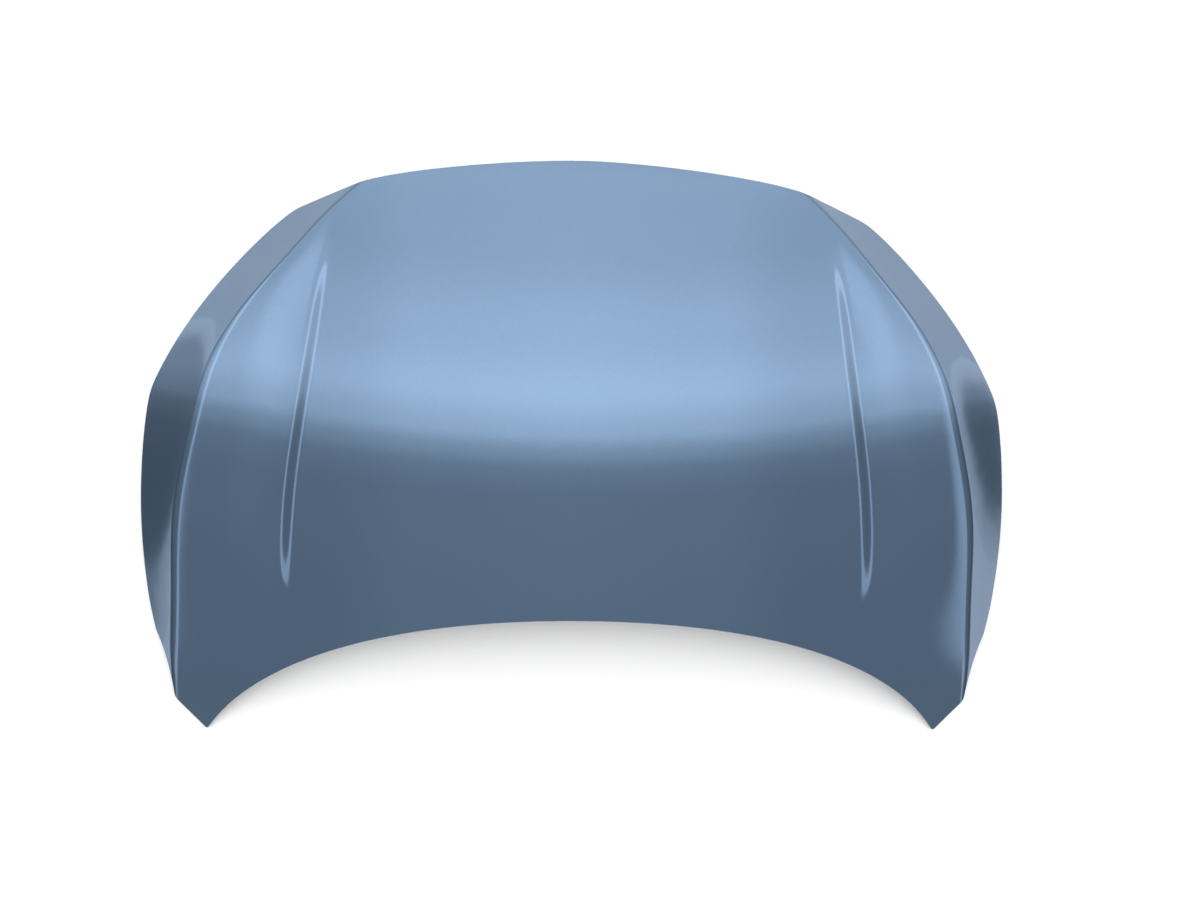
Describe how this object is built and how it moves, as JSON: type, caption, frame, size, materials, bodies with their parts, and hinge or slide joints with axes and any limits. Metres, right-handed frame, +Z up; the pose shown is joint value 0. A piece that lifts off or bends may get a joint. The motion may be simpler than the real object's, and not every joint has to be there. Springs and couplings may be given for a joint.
{
  "type": "car bonnet",
  "caption": "Pressed steel car bonnet: crowned outer skin hemmed round a ribbed inner frame, with hinge seats, striker loop, rubber buffers and mastic.",
  "frame": {"origin": "under the middle of the bonnet's box, on the surface it lies on", "axes": "+X to the car's right, +Y towards the nose, +Z up out of the outer face"},
  "size_m": [1.5076, 0.9904, 0.1421],
  "materials": {
    "body_paint": "glossy grey-blue paint under clear lacquer",
    "inner_paint": "thin body colour over primer, low gloss",
    "bare_steel": "primed pressed steel",
    "zinc_plate": "zinc plated steel",
    "rubber": "matt black rubber",
    "mastic": "cured adhesive mastic"
  },
  "bodies": {
    "root": {"outer_skin": "body_paint", "inner_frame": "inner_paint", "hinge_reinforcement_left": "bare_steel", "hinge_nut_left_rear": "zinc_plate", "hinge_nut_left_nose": "zinc_plate", "hinge_reinforcement_right": "bare_steel", "hinge_nut_right_rear": "zinc_plate", "hinge_nut_right_nose": "zinc_plate", "striker_reinforcement": "bare_steel", "striker_plate": "zinc_plate", "striker_loop": "zinc_plate", "striker_nut_left": "zinc_plate", "striker_bolt_left": "zinc_plate", "striker_nut_right": "zinc_plate", "striker_bolt_right": "zinc_plate", "buffer_nose_left": "rubber", "buffer_nose_right": "rubber", "buffer_side_left": "rubber", "buffer_side_right": "rubber", "mastic_centre_rear": "mastic", "mastic_centre_nose": "mastic", "mastic_inner_rear_left": "mastic", "mastic_inner_rear_right": "mastic", "mastic_inner_nose_left": "mastic", "mastic_inner_nose_right": "mastic", "mastic_outer_rear_left": "mastic", "mastic_outer_rear_right": "mastic", "mastic_outer_nose_left": "mastic", "mastic_outer_nose_right": "mastic", "mastic_side_left": "mastic", "mastic_side_right": "mastic"}
  },
  "joints": []
}
